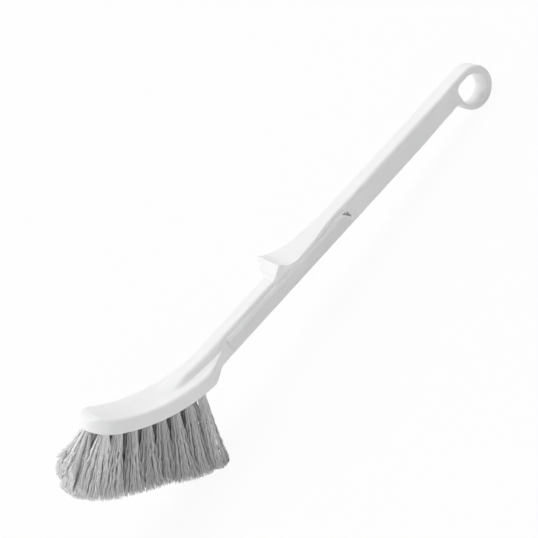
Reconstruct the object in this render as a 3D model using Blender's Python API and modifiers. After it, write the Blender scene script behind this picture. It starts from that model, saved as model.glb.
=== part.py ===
"""Scrubbing brush with a long handle: one moulded body, 24 bristle tufts and their 24 wire anchors.

Lengths are in metres and +Z is up. The brush is drawn in its own axes: X runs along the handle
towards the hanging loop, Y goes across, and Z is square to the handle. X is 0 where the underside
starts to bend up into the head, and Z is 0 on the flat underside of the handle. The whole brush
then stands as it does on a floor, on the tips of its last tufts and on its loop.
"""
from math import asin, atan2, cos, hypot, pi, radians, sin, sqrt, tan
import random

import bmesh
import bpy
from mathutils import Matrix, Vector

# Head, a slab bent to one radius from the heel to the nose
HEAD_LENGTH = 0.0985
HEAD_WIDTH = 0.0306
HEAD_THICKNESS = 0.0088
HEAD_BEND_RADIUS = 0.1134
HEAD_CROWN = 0.0008
HEAD_BACK_ROUND = 0.0028
HEAD_UNDER_ROUND = 0.0006
NOSE_REACH = 0.0118
NOSE_DROP = 0.0045
HEEL_REACH_UNDER = 0.0150
HEEL_REACH_BACK = 0.0240
HEEL_OVERHANG = 0.0090

# Handle, a bar that runs on from the head as a ridge on its back
HANDLE_DEPTH = 0.0145
HANDLE_WIDTH_AT_HEAD = 0.0121
HANDLE_WIDTH_AT_LOOP = 0.0134
HANDLE_TOP_ROUND = 0.0020
RIDGE_RUN = 0.0440
CREASE_ROUND = 0.0010
CREASE_LEAN = 0.0008

# Side channels of the handle, one on each side, each ended by a small deep notch
CHANNEL_START = 0.0100
CHANNEL_END = 0.1215
CHANNEL_LOW = 0.0022
CHANNEL_HIGH = 0.0109
CHANNEL_WEB = 0.0098
NOTCH_LENGTH = 0.0042
NOTCH_HEIGHT = 0.0056
NOTCH_BELOW_LIP = 0.0014
NOTCH_PAST_END = 0.0006
NOTCH_WEB = 0.0060

# Thumb rest, a flared ramp that faces the loop, with a steep front
REST_FOOT = 0.0570
REST_FRONT = 0.0075
REST_RAMP = 0.0480
REST_HEIGHT = 0.0089
REST_WIDTH = 0.0276
REST_LIP_ROUND = 0.0006

# Hanging loop at the end of the handle
LOOP_REACH = 0.2390
LOOP_RADIUS = 0.0143
LOOP_THICKNESS = 0.0120
LOOP_EDGE_ROUND = 0.0012
LOOP_HOLE_RADIUS = 0.0100
LOOP_HOLE_SETBACK = 0.0008
LOOP_CORNER_ROUND = 0.0012
LOOP_NECK = 0.0280
LOOP_PLATE_START = 0.0200
LOOP_SINK = 0.0001
LOOP_NECK_FILLET = 0.0050

# Tufts in their drilled holes: two outer rows, a middle row that is one shorter, and one at the nose
TUFTS_IN_ROW = 8
TUFT_PITCH = 0.0096
OUTER_ROW_INSET = 0.0105
MIDDLE_ROW_INSET = 0.0120
NOSE_TUFT_INSET = 0.0037
ROW_SPACING = 0.0080
HOLE_DIAMETER = 0.0056
HOLE_DEPTH = 0.0066
HOLE_LEAN = radians(19.2)
HOLE_FAN_SHARE = 0.75
NOSE_TUFT_LEAN = radians(11.5)
OUTER_ROW_SPLAY = radians(4.0)
FIT_GAP = 0.0003

# Bristles, cut to one straight scrubbing line and to a steeper one round the nose
STRANDS_ACROSS = 4
STRAND_WIDTH = 0.0009
STRAND_TIP_SHARE = 0.7
BRISTLE_REACH_AT_HEEL = 0.0526
BRISTLE_REACH_AT_NOSE = 0.0395
SCRUB_LINE_SLOPE = radians(34.8)
NOSE_LINE_SLOPE = radians(70.0)
TUFT_SPREAD_ALONG = 0.0116
TUFT_SPREAD_ACROSS = 0.0106
NOSE_TUFT_SPREAD_ACROSS = 0.0320
MIDWAY_FAN_SHARE = 0.42
TIP_UNEVENNESS = 0.0014
REST_CUT = 0.0005

# Wire anchors, each across its hole inside the fold of the tuft
ANCHOR_LENGTH = 0.0064
ANCHOR_DEPTH = 0.0016
ANCHOR_THICKNESS = 0.0005
ANCHOR_SEAT = 0.0042

# How finely round shapes are cut
OVERRUN = 0.0010
ROUND_STEPS = 3
HOLE_SIDES = 16
LOOP_STEPS = 44
MERGE = 0.00001
SEED = 7

# Shares of the ridge's run from full depth, of its rise above the head, and of its width
RIDGE_SHARES = (
    (0.00, 1.00, 1.00), (0.18, 1.00, 1.00), (0.32, 0.96, 1.00), (0.50, 0.88, 0.99),
    (0.64, 0.69, 0.93), (0.77, 0.41, 0.78), (0.89, 0.13, 0.56), (1.00, 0.00, 0.36),
)
# Shares of the thumb rest's front, of its height and of its flare
FRONT_SHARES = ((0.00, 0.00, 0.00), (0.20, 0.20, 0.25), (0.40, 0.40, 0.42), (0.70, 0.70, 0.64), (1.00, 1.00, 0.82))
# Shares of the thumb rest's ramp, of its height and of its flare
RAMP_SHARES = (
    (0.00, 1.00, 0.82), (0.04, 0.78, 0.90), (0.11, 0.47, 1.00), (0.25, 0.22, 0.90), (0.36, 0.11, 0.80),
    (0.46, 0.05, 0.66), (0.64, 0.01, 0.42), (0.79, 0.00, 0.17), (1.00, 0.00, 0.00),
)
# Shares of the heel's reach, and of the width left between the handle and the head there
HEEL_SHARES = ((0.00, 1.00), (0.12, 0.99), (0.28, 0.88), (0.60, 0.48), (0.85, 0.14), (1.00, 0.00))


def clear_scene():
    """Removes whatever the scene holds."""
    for item in list(bpy.data.objects):
        bpy.data.objects.remove(item, do_unlink=True)


def new_collection(name):
    """Makes a collection in the scene."""
    collection = bpy.data.collections.new(name)
    bpy.context.scene.collection.children.link(collection)
    return collection


def add_object(name, mesh, collection, parent=None):
    """Puts a mesh in the scene under a name."""
    item = bpy.data.objects.new(name, mesh)
    collection.objects.link(item)
    item.parent = parent
    return item


def plain_material(name, colour, roughness, metallic=0.0):
    """Makes a plain material."""
    material = bpy.data.materials.new(name)
    material.use_nodes = True
    shader = material.node_tree.nodes["Principled BSDF"]
    shader.inputs["Base Color"].default_value = (*colour, 1.0)
    shader.inputs["Roughness"].default_value = roughness
    shader.inputs["Metallic"].default_value = metallic
    return material


def mesh_from(name, bm):
    """Turns a bmesh into a mesh and frees it."""
    mesh = bpy.data.meshes.new(name)
    bm.to_mesh(mesh)
    bm.free()
    return mesh


def smooth(mesh, angle=radians(35.0)):
    """Shades the round parts of a mesh smooth."""
    mesh.shade_smooth()
    mesh.set_sharp_from_angle(angle=angle)


def along(table, share, column=1):
    """Reads a table of shares with smooth steps between its rows."""
    if share <= table[0][0]:
        return table[0][column]
    for low, high in zip(table, table[1:]):
        if share <= high[0]:
            part = (share - low[0]) / (high[0] - low[0])
            return low[column] + (high[column] - low[column]) * part
    return table[-1][column]


def spine(run):
    """Gives the underside's point and its upward normal, run measured from the heel, minus towards the nose."""
    if run >= 0:
        return Vector((run, 0, 0)), Vector((0, 0, 1))
    turn = -run / HEAD_BEND_RADIUS
    point = Vector((-HEAD_BEND_RADIUS * sin(turn), 0, HEAD_BEND_RADIUS * (1 - cos(turn))))
    return point, Vector((sin(turn), 0, cos(turn)))


def handle_half_width(run):
    """Half the handle's width, which grows evenly to the loop's neck and then slims to fit inside the loop."""
    neck = LOOP_REACH - LOOP_NECK
    share = min(max(run / neck, 0), 1)
    half = (HANDLE_WIDTH_AT_HEAD + (HANDLE_WIDTH_AT_LOOP - HANDLE_WIDTH_AT_HEAD) * share) / 2
    if run <= neck:
        return half
    slim = min((run - neck) / (LOOP_NECK / 2), 1)
    return half + (LOOP_THICKNESS / 2 - LOOP_SINK - half) * slim


def top_round(run):
    """Corner radius of the handle's top, which tightens to the loop's as it comes near."""
    share = min(max((run - LOOP_REACH + LOOP_NECK * 2) / LOOP_NECK, 0), 1)
    return HANDLE_TOP_ROUND + (LOOP_EDGE_ROUND - HANDLE_TOP_ROUND) * share


def head_half_width(run, reach, overhang):
    """Half the head's width in plan, round at the nose and drawn in to the handle at the heel."""
    full = HEAD_WIDTH / 2
    from_nose = run + HEAD_LENGTH
    if from_nose < NOSE_REACH:
        part = max(from_nose, 0) / NOSE_REACH
        return full * (1 - (1 - part) ** 2.4) ** (1 / 2.4)
    handle = handle_half_width(run)
    start = overhang - reach
    if run <= start:
        return full
    return handle + (full - handle) * along(HEEL_SHARES, (run - start) / reach)


def crown_height(across, half):
    """Height of the head's back above its underside."""
    share = min(across / half, 1) if half > 0 else 1
    return HEAD_THICKNESS + HEAD_CROWN * (1 - share * share)


def rest_shape(run):
    """Height and flare of the thumb rest above the handle's top."""
    lip = REST_FOOT + REST_FRONT
    if run < lip:
        share = (run - REST_FOOT) / REST_FRONT
        return REST_HEIGHT * along(FRONT_SHARES, share), along(FRONT_SHARES, share, 2)
    share = (run - lip) / REST_RAMP
    return REST_HEIGHT * along(RAMP_SHARES, share), along(RAMP_SHARES, share, 2)


def rounded(corners):
    """Rounds the corners of an open outline of (across, height, radius, steps)."""
    points = []
    for index, (x, z, radius, steps) in enumerate(corners):
        if steps == 0:
            points.append(Vector((x, z)))
            continue
        here = Vector((x, z))
        before = Vector(corners[index - 1][:2]) - here
        after = Vector(corners[index + 1][:2]) - here
        if min(before.length, after.length) < MERGE:
            points.extend([here.copy() for _ in range(steps + 1)])
            continue
        turn = before.angle(after)
        reach = min(radius / max(tan(turn / 2), MERGE), before.length * 0.49, after.length * 0.49)
        start = here + before.normalized() * reach
        end = here + after.normalized() * reach
        for step in range(steps + 1):
            part = step / steps
            low = start.lerp(here, part)
            high = here.lerp(end, part)
            points.append(low.lerp(high, part))
    return points


def body_section(run):
    """Half of the body's outline across the spine, from the top's middle down to the underside's middle."""
    handle = handle_half_width(run)
    back = head_half_width(run, HEEL_REACH_BACK, HEEL_OVERHANG)
    under = head_half_width(run, HEEL_REACH_UNDER, 0)
    on_head = run < HEEL_OVERHANG
    ridge, ridge_width = 1.0, 1.0
    if run < 0:
        ridge = along(RIDGE_SHARES, -run / RIDGE_RUN)
        ridge_width = along(RIDGE_SHARES, -run / RIDGE_RUN, 2)
    half_top = handle * ridge_width
    if run < -RIDGE_RUN:
        half_top = min(half_top, back / 2)
    foot = min(half_top + CREASE_LEAN * ridge, back)
    from_nose = run + HEAD_LENGTH
    drop = 0
    if from_nose < NOSE_DROP:
        drop = NOSE_DROP - sqrt(max(NOSE_DROP ** 2 - (NOSE_DROP - from_nose) ** 2, 0))
    rise, flare = rest_shape(run)
    middle = crown_height(0, back) * (1 - ridge) + HANDLE_DEPTH * ridge + rise - drop
    corner = crown_height(half_top, back) * (1 - ridge) + HANDLE_DEPTH * ridge + rise - drop
    half_top += (REST_WIDTH / 2 - handle) * flare
    crease = crown_height(foot, back) - drop
    if not on_head:
        foot = handle
        crease = CHANNEL_HIGH
    lip_round = REST_LIP_ROUND if rise > HANDLE_TOP_ROUND else top_round(run)
    return rounded([
        (0, middle, 0, 0),
        (half_top, corner, lip_round, ROUND_STEPS - 1),
        (foot, crease, CREASE_ROUND, ROUND_STEPS - 1),
        ((foot + back) / 2, (crease + HEAD_THICKNESS - drop) / 2, 0, 0),
        (back, HEAD_THICKNESS - drop, HEAD_BACK_ROUND, ROUND_STEPS),
        (under, 0, HEAD_UNDER_ROUND, 1),
        (under / 2, 0, 0, 0),
        (0, 0, 0, 0),
    ])


def body_stations():
    """Places along the spine where the body's outline is taken."""
    stations = []
    nose_steps = 6
    for step in range(nose_steps):
        stations.append(-HEAD_LENGTH + NOSE_REACH * (1 - cos(pi / 2 * (step + 0.35) / nose_steps)))
    slab_steps = 7
    slab_end = -RIDGE_RUN
    slab_start = -HEAD_LENGTH + NOSE_REACH
    for step in range(slab_steps):
        stations.append(slab_start + (slab_end - slab_start) * step / slab_steps)
    stations.extend(-share * RIDGE_RUN for share, _, _ in reversed(RIDGE_SHARES) if share > 0.4)
    heel_start = HEEL_OVERHANG - HEEL_REACH_BACK
    heel_steps = 7
    for step in range(heel_steps + 1):
        stations.append(heel_start + HEEL_REACH_BACK * step / heel_steps)
    stations.append((HEEL_OVERHANG + REST_FOOT) / 2)
    stations.extend(REST_FOOT + REST_FRONT * row[0] for row in FRONT_SHARES)
    lip = REST_FOOT + REST_FRONT
    stations.extend(lip + REST_RAMP * row[0] for row in RAMP_SHARES[1:])
    neck = LOOP_REACH - LOOP_NECK
    stations.extend([(lip + REST_RAMP + neck) / 2, neck, neck + LOOP_NECK / 2, LOOP_REACH - LOOP_RADIUS / 3])
    return stations


def body_skin():
    """Lofts the body from the nose into the loop."""
    bm = bmesh.new()
    loops = []
    for run in body_stations():
        origin, up = spine(run)
        half = body_section(run)
        ring = [(point.x, point.y) for point in half] + [(-point.x, point.y) for point in half[-2:0:-1]]
        loops.append([bm.verts.new(origin + up * height + Vector((0, across, 0))) for across, height in ring])
    for loop, following in zip(loops, loops[1:]):
        for index, vert in enumerate(loop):
            nxt = (index + 1) % len(loop)
            bm.faces.new((vert, following[index], following[nxt], loop[nxt]))
    bm.faces.new(loops[0])
    bm.faces.new(list(reversed(loops[-1])))
    bmesh.ops.remove_doubles(bm, verts=bm.verts, dist=MERGE)
    bmesh.ops.dissolve_degenerate(bm, edges=bm.edges, dist=MERGE)
    bmesh.ops.recalc_face_normals(bm, faces=bm.faces)
    return mesh_from("body_skin", bm)


def arc(centre, radius, start, end, steps):
    """Points on an arc in the side view, both ends included."""
    return [(centre[0] + radius * cos(start + (end - start) * step / steps),
             centre[1] + radius * sin(start + (end - start) * step / steps)) for step in range(steps + 1)]


def prism(name, outline, half_thickness):
    """Makes a flat plate across Y from an outline in the side view."""
    bm = bmesh.new()
    face = bm.faces.new([bm.verts.new((x, -half_thickness, z)) for x, z in outline])
    extruded = bmesh.ops.extrude_face_region(bm, geom=[face])["geom"]
    moved = [item for item in extruded if isinstance(item, bmesh.types.BMVert)]
    bmesh.ops.translate(bm, verts=moved, vec=(0, half_thickness * 2, 0))
    bmesh.ops.recalc_face_normals(bm, faces=bm.faces)
    return mesh_from(name, bm)


def loop_centre():
    """Middle of the loop, whose rim is level with the handle's top."""
    return LOOP_REACH, HANDLE_DEPTH - LOOP_SINK - LOOP_RADIUS


def loop_outline():
    """Side view of the loop and its neck, with a fillet where the rim leaves the handle's underside."""
    centre = loop_centre()
    start = centre[0] - LOOP_PLATE_START
    side = LOOP_SINK - LOOP_NECK_FILLET
    fillet = (centre[0] - sqrt((LOOP_RADIUS + LOOP_NECK_FILLET) ** 2 - (side - centre[1]) ** 2), side)
    touch = atan2(centre[1] - side, centre[0] - fillet[0])
    points = [(start, HANDLE_DEPTH - LOOP_SINK), (start, LOOP_SINK)]
    points.extend(arc(fillet, LOOP_NECK_FILLET, pi / 2, touch, ROUND_STEPS + 1))
    points.extend(arc(centre, LOOP_RADIUS, touch + pi, pi * 2 + pi / 2, LOOP_STEPS)[1:])
    return points


def hole_outline():
    """Side view of the loop's hole, round but for one corner that follows the handle's top."""
    centre_x, centre_z = loop_centre()
    centre_x -= LOOP_HOLE_SETBACK
    corner = (centre_x - LOOP_HOLE_RADIUS + LOOP_CORNER_ROUND, centre_z + LOOP_HOLE_RADIUS - LOOP_CORNER_ROUND)
    points = arc((centre_x, centre_z), LOOP_HOLE_RADIUS, -pi, pi / 2, LOOP_STEPS * 3 // 4)
    points.extend(arc(corner, LOOP_CORNER_ROUND, pi / 2, pi, ROUND_STEPS))
    return points


def tuft_places():
    """Name, run along the underside, place across, lean towards the nose and splay of each tuft."""
    places = []
    for row, side in (("left", -1), ("middle", 0), ("right", 1)):
        inset = OUTER_ROW_INSET if side else MIDDLE_ROW_INSET
        for number in range(TUFTS_IN_ROW if side else TUFTS_IN_ROW - 1):
            run = inset - HEAD_LENGTH + TUFT_PITCH * number
            lean = HOLE_LEAN + HOLE_FAN_SHARE * -run / HEAD_BEND_RADIUS
            places.append(("%s_%d" % (row, number + 1), run, side * ROW_SPACING, lean, side * OUTER_ROW_SPLAY))
    run = NOSE_TUFT_INSET - HEAD_LENGTH
    lean = HOLE_LEAN + HOLE_FAN_SHARE * -run / HEAD_BEND_RADIUS + NOSE_TUFT_LEAN
    places.append(("nose", run, 0, lean, 0))
    return places


def tuft_frame(run, across, lean, splay):
    """Matrix of a hole, with its origin at the mouth and -Z pointing out of the head along the bristles."""
    point, _ = spine(run)
    place = Matrix.Translation(point + Vector((0, across, 0)))
    return place @ Matrix.Rotation(lean, 4, "Y") @ Matrix.Rotation(splay, 4, "X")


def scrub_planes():
    """The two planes that the bristles are cut to, each a point and its outward normal."""
    places = tuft_places()
    heel = tuft_frame(*places[TUFTS_IN_ROW - 1][1:])
    nose = tuft_frame(*places[-1][1:])
    planes = []
    for frame, reach, slope in ((heel, BRISTLE_REACH_AT_HEEL, SCRUB_LINE_SLOPE),
                                (nose, BRISTLE_REACH_AT_NOSE, NOSE_LINE_SLOPE)):
        planes.append((frame @ Vector((0, 0, -reach)), Vector((-sin(slope), 0, -cos(slope)))))
    return planes


def cut_length(start, direction, planes):
    """Length of a strand from its root to the nearer of the cutting planes."""
    return min((point - start).dot(normal) / direction.dot(normal) for point, normal in planes)


def disc_place(u, v, radius):
    """Maps a square of -1 to 1 onto a disc."""
    return Vector((u * sqrt(1 - v * v / 2) * radius, v * sqrt(1 - u * u / 2) * radius, 0))


def tuft_mesh(name, frame, planes, spread_across, source):
    """Builds one tuft: the root that fills its hole, and the strands that grow from the root's face."""
    root_radius = HOLE_DIAMETER / 2 - FIT_GAP
    bm = bmesh.new()
    bmesh.ops.create_grid(bm, x_segments=STRANDS_ACROSS, y_segments=STRANDS_ACROSS, size=1)
    for vert in bm.verts:
        vert.co = disc_place(vert.co.x, vert.co.y, root_radius) + Vector((0, 0, FIT_GAP))
    face_tiles = list(bm.faces)
    grown = bmesh.ops.extrude_face_region(bm, geom=face_tiles, use_keep_orig=True)["geom"]
    root_end = [item for item in grown if isinstance(item, bmesh.types.BMFace)]
    for vert in {vert for face in root_end for vert in face.verts}:
        vert.co.z = HOLE_DEPTH - FIT_GAP
    bmesh.ops.dissolve_faces(bm, faces=root_end)
    mouth = [face for face in bm.faces if all(abs(vert.co.z - FIT_GAP) < MERGE for vert in face.verts)]
    back = frame.inverted()
    local = [(back @ point, back.to_3x3() @ normal) for point, normal in planes]
    nominal = cut_length(Vector(), Vector((0, 0, -1)), local)
    for face in mouth:
        middle = face.calc_center_median()
        aim = Vector((middle.x * TUFT_SPREAD_ALONG, middle.y * spread_across, 0)) / (root_radius * 2)
        aim.z = -nominal
        aim -= middle
        length = cut_length(middle, aim, local) - source.uniform(0, TIP_UNEVENNESS) / nominal
        for share, fan, width in ((1 / 2, MIDWAY_FAN_SHARE, STRAND_WIDTH), (1, 1, STRAND_WIDTH * STRAND_TIP_SHARE)):
            end = middle + Vector((aim.x * fan, aim.y * fan, aim.z * share)) * length
            tip = bmesh.ops.extrude_discrete_faces(bm, faces=[face])["faces"][0]
            centre = tip.calc_center_median()
            size = sqrt(tip.calc_area())
            for vert in tip.verts:
                vert.co = end + (vert.co - centre) * (width / size)
            face = tip
    bmesh.ops.transform(bm, matrix=frame, verts=bm.verts)
    bmesh.ops.recalc_face_normals(bm, faces=bm.faces)
    return mesh_from(name, bm)


def resting_angle(tips):
    """Angle that the brush is turned by when it stands on its lowest tips, cut a little flat, and on its loop."""
    centre_x, centre_z = loop_centre()
    angles = []
    for tip in tips:
        run = centre_x - tip.x
        drop = centre_z - tip.z
        angles.append(atan2(drop, run) - asin((LOOP_RADIUS + REST_CUT) / hypot(run, drop)))
    return max(angles)


def cutter_box(name, low, high, collection, parent):
    """Makes a box that cuts, from its lowest to its highest corner."""
    bm = bmesh.new()
    bmesh.ops.create_cube(bm, size=1)
    size = Vector(high) - Vector(low)
    middle = (Vector(high) + Vector(low)) / 2
    for vert in bm.verts:
        vert.co = Vector((vert.co.x * size.x, vert.co.y * size.y, vert.co.z * size.z)) + middle
    return as_cutter(add_object(name, mesh_from(name, bm), collection, parent))


def as_cutter(item):
    """Marks an object as a cutter."""
    item.hide_render = True
    item.display_type = "WIRE"
    return item


def cut(target, cutter, operation="DIFFERENCE"):
    """Adds a Boolean to an object."""
    modifier = target.modifiers.new(cutter.name, "BOOLEAN")
    modifier.operation = operation
    modifier.solver = "EXACT"
    modifier.object = cutter


def joined(name, pieces, collection, parent):
    """Joins meshes that stand apart into one cutter."""
    bm = bmesh.new()
    for mesh, matrix in pieces:
        part = bmesh.new()
        part.from_mesh(mesh)
        bmesh.ops.transform(part, matrix=matrix, verts=part.verts)
        loose = bpy.data.meshes.new(name)
        part.to_mesh(loose)
        part.free()
        bm.from_mesh(loose)
        bpy.data.meshes.remove(loose)
    return as_cutter(add_object(name, mesh_from(name, bm), collection, parent))


def hole_mesh():
    """Cutter of one tuft hole, from outside the head to the hole's floor."""
    bm = bmesh.new()
    bmesh.ops.create_cone(bm, cap_ends=True, segments=HOLE_SIDES, radius1=HOLE_DIAMETER / 2,
                          radius2=HOLE_DIAMETER / 2, depth=HOLE_DEPTH + OVERRUN * 2)
    bmesh.ops.translate(bm, verts=bm.verts, vec=(0, 0, HOLE_DEPTH / 2 - OVERRUN))
    return mesh_from("tuft_hole", bm)


def anchor_box(name, clearance, length):
    """A block the size of an anchor with a clearance all round, standing across its hole."""
    bm = bmesh.new()
    bmesh.ops.create_cube(bm, size=1)
    for vert in bm.verts:
        vert.co.x *= ANCHOR_THICKNESS + clearance * 2
        vert.co.y *= length + clearance * 2
        vert.co.z *= ANCHOR_DEPTH + clearance * 2
        vert.co.z += ANCHOR_SEAT
    return mesh_from(name, bm)


def build_body(parts, cutters, pose, material):
    """Makes the moulded body with its channels, its loop and its tuft holes."""
    mesh = body_skin()
    body = add_object("handle_and_head", mesh, parts, pose)
    mesh.materials.append(material)
    loop = add_object("loop_plate", prism("loop_plate", loop_outline(), LOOP_THICKNESS / 2), cutters, pose)
    as_cutter(loop)
    bevel = loop.modifiers.new("edge_round", "BEVEL")
    bevel.width = LOOP_EDGE_ROUND
    bevel.segments = 2
    bevel.limit_method = "ANGLE"
    bevel.angle_limit = radians(50.0)
    cut(body, loop, "UNION")
    hole = add_object("loop_hole", prism("loop_hole", hole_outline(), LOOP_THICKNESS), cutters, pose)
    cut(body, as_cutter(hole))
    top = CHANNEL_HIGH - NOTCH_BELOW_LIP
    end = CHANNEL_END + NOTCH_PAST_END
    notch_half = (HANDLE_WIDTH_AT_LOOP - NOTCH_WEB) / 4 + OVERRUN
    notch_mesh = prism("notch", [(CHANNEL_END - NOTCH_LENGTH, top), (end, top), (end, top - NOTCH_HEIGHT)], notch_half)
    for name, side in (("left", -1), ("right", 1)):
        outer = HANDLE_WIDTH_AT_LOOP * side
        inner = CHANNEL_WEB / 2 * side
        low = (CHANNEL_START, min(inner, outer), CHANNEL_LOW)
        high = (CHANNEL_END, max(inner, outer), CHANNEL_HIGH)
        cut(body, cutter_box("channel_" + name, low, high, cutters, pose))
        notch = as_cutter(add_object("notch_" + name, notch_mesh, cutters, pose))
        notch.location.y = side * (NOTCH_WEB / 2 + notch_half)
        cut(body, notch)
    frames = [tuft_frame(*place[1:]) for place in tuft_places()]
    drill = hole_mesh()
    slot = anchor_box("anchor_slot", FIT_GAP, ANCHOR_LENGTH)
    cut(body, joined("tuft_holes", [(drill, frame) for frame in frames], cutters, pose))
    cut(body, joined("anchor_slots", [(slot, frame) for frame in frames], cutters, pose))
    smooth(mesh)
    return body


def build_tufts(parts, cutters, pose, materials):
    """Makes each tuft, and the wire anchor inside its fold."""
    source = random.Random(SEED)
    planes = scrub_planes()
    window = anchor_box("fold_window", FIT_GAP, HOLE_DIAMETER)
    meshes = []
    for name, *place in tuft_places():
        frame = tuft_frame(*place)
        spread_across = NOSE_TUFT_SPREAD_ACROSS if name == "nose" else TUFT_SPREAD_ACROSS
        mesh = tuft_mesh("tuft_" + name, frame, planes, spread_across, source)
        mesh.materials.append(materials["bristle"])
        tuft = add_object("tuft_" + name, mesh, parts, pose)
        opening = as_cutter(add_object("opening_" + name, window, cutters, pose))
        opening.matrix_local = frame
        cut(tuft, opening)
        meshes.append(mesh)
        wire = anchor_box("anchor_" + name, 0, ANCHOR_LENGTH)
        wire.materials.append(materials["wire"])
        anchor = add_object("anchor_" + name, wire, parts, pose)
        anchor.matrix_local = frame
    return meshes


def stand_up(pose, meshes):
    """Stands the brush on the floor, with the lowest tips cut flat, and centres it over the origin."""
    tips = [vert.co.copy() for mesh in meshes for vert in mesh.vertices]
    turn = Matrix.Rotation(resting_angle(tips), 4, "Y")
    centre_x, centre_z = loop_centre()
    loop = turn @ Vector((centre_x, 0, centre_z))
    floor = loop.z - LOOP_RADIUS
    back = turn.inverted()
    low_x = loop.x
    for mesh in meshes:
        for vert in mesh.vertices:
            point = turn @ vert.co
            low_x = min(low_x, point.x)
            if point.z < floor:
                point.z = floor
                vert.co = back @ point
    middle = (low_x + loop.x + LOOP_RADIUS) / 2
    pose.matrix_world = Matrix.Translation((-middle, 0, -floor)) @ turn


def build_brush():
    """Builds the brush and stands it on the floor."""
    clear_scene()
    parts = new_collection("scrubbing_brush")
    cutters = new_collection("cutters")
    pose = bpy.data.objects.new("resting_pose", None)
    parts.objects.link(pose)
    materials = {
        "body": plain_material("white_plastic", (0.86, 0.86, 0.85), 0.42),
        "bristle": plain_material("grey_filament", (0.36, 0.36, 0.36), 0.5),
        "wire": plain_material("anchor_wire", (0.62, 0.60, 0.55), 0.35, 1.0),
    }
    build_body(parts, cutters, pose, materials["body"])
    meshes = build_tufts(parts, cutters, pose, materials)
    stand_up(pose, meshes)


build_brush()
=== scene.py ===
"""Scrubbing brush with a long handle: a white moulding, its tufts of grey bristle and their wires.

The brush is drawn as it is put together, lying along X from its nose to its loop, with the flat
underside of its bar at Z 0, and each piece is then stood on the floor. Lengths are in metres.
"""

import random
from math import asin, atan2, cos, hypot, pi, radians, sin, sqrt, tan

import bmesh
import bpy
from mathutils import Matrix, Vector


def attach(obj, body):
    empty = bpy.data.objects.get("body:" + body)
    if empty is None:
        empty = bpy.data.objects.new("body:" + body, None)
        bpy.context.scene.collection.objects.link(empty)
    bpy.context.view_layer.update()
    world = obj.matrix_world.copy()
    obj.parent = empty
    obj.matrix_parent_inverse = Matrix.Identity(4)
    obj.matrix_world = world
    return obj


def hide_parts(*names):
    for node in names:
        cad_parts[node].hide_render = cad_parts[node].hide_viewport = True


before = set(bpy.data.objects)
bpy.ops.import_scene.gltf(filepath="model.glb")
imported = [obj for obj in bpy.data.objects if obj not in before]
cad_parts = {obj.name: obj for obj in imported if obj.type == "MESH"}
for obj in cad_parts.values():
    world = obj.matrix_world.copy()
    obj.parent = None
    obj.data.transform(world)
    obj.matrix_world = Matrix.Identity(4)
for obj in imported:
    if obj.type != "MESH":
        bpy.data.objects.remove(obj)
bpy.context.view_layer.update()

# White moulding, one shot of satin polypropylene: the head, the bar that runs on along its back as
# a ridge, the flared thumb rest and the hanging loop. Channels in the bar's sides save plastic and
# keep it from sinking, and the head is drilled from beneath for its tufts.
head_length = 0.0985
head_width = 0.0306
head_thickness = 0.0088
head_bend_radius = 0.1134
head_crown = 0.0008
head_back_round = 0.0028
head_under_round = 0.0007
nose_reach = 0.0155
nose_drop = 0.0066
nose_back_round = 0.0046
nose_round_fade = 0.0400
heel_reach_under = 0.0150
heel_reach_back = 0.0240
heel_overhang = 0.0090

# Bar, the ridge that it becomes on the head's back, and the crease along the ridge's foot.
bar_depth = 0.0145
bar_width_at_head = 0.0121
bar_width_at_loop = 0.0134
bar_top_round = 0.0020
bar_top_round_behind = 0.0034
bar_rounds_more = (0.1150, 0.1750)
bar_under_round = 0.0009
ridge_run = 0.0440
ridge_top_round = 0.0044
ridge_round_fade = 0.0260
crease_round = 0.0005
crease_round_in_front = 0.0040
crease_softens = (0.0180, 0.0380)
crease_lean = 0.0008
crease_lean_in_front = 0.0032

# Channels in the bar's sides, each with a bead along its upper edge and a notch at its end.
channel_start = 0.0100
channel_end = 0.1215
channel_start_slope = 0.0036
channel_end_slope = 0.0020
channel_low = 0.0009
channel_high = 0.0104
channel_depth = 0.0024
channel_back_share = 0.62
channel_draft = 0.0003
channel_round = 0.0004
channel_back_round = 0.0032
bead_height = 0.0006
bead_width = 0.0012
bead_round = 0.0002
notch_length = 0.0034
notch_height = 0.0046
notch_below_lip = 0.0014
notch_past_end = 0.0006
notch_web = 0.0054

# Thumb rest, with a steep front, a long ramp behind it and a flare to either side.
rest_foot = 0.0570
rest_front = 0.0075
rest_crest = rest_foot + rest_front
rest_ramp = 0.0480
rest_height = 0.0089
rest_width = 0.0276
rest_edge_round = 0.0006
rest_crest_round = 0.0004
rest_neck_round = 0.0030
neck_round_flare = 0.2

# Hanging loop and its hole, the neck before it, its waist, and the fillet under the bar.
loop_reach = 0.2390
loop_radius = 0.0143
loop_level = 0.0001
loop_neck = 0.0280
loop_round = 0.0024
loop_edge_width = 0.0036
loop_hole_round = 0.0008
loop_waist = 0.0120
loop_waist_fades = (0.0165, 0.0240)
loop_fillet = 0.0050
loop_hole_radius = 0.0100
loop_hole_setback = 0.0015
loop_hole_corner = 0.0050
hole_stretch_before_fillet = 0.0021
turn_past_touch = radians(1.0)

# How far corners can be rounded, and the length below which two points are one.
sharpest_turn = 3.0
flats_used_by_rounds = 0.98
nothing = 0.00001

# Faces across the moulding: steps round each corner of its outline and points on each flat of it.
flat_steps = 5
edge_steps = 6
corner_steps = (0, edge_steps, 4, 4, 3, 3, 8, edge_steps, 0)
points_on_flats = (flat_steps, 3, 3, 3, 4, 4, 4, flat_steps)
loop_face_steps = 9
loop_wall_steps = 4
ring_steps = 76
over_hole_steps = 12
neck_steps = 14
fillet_steps = 14
nose_steps = 20
thumb_rest_steps = 3
steep_share_of_ramp = 0.2

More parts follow.
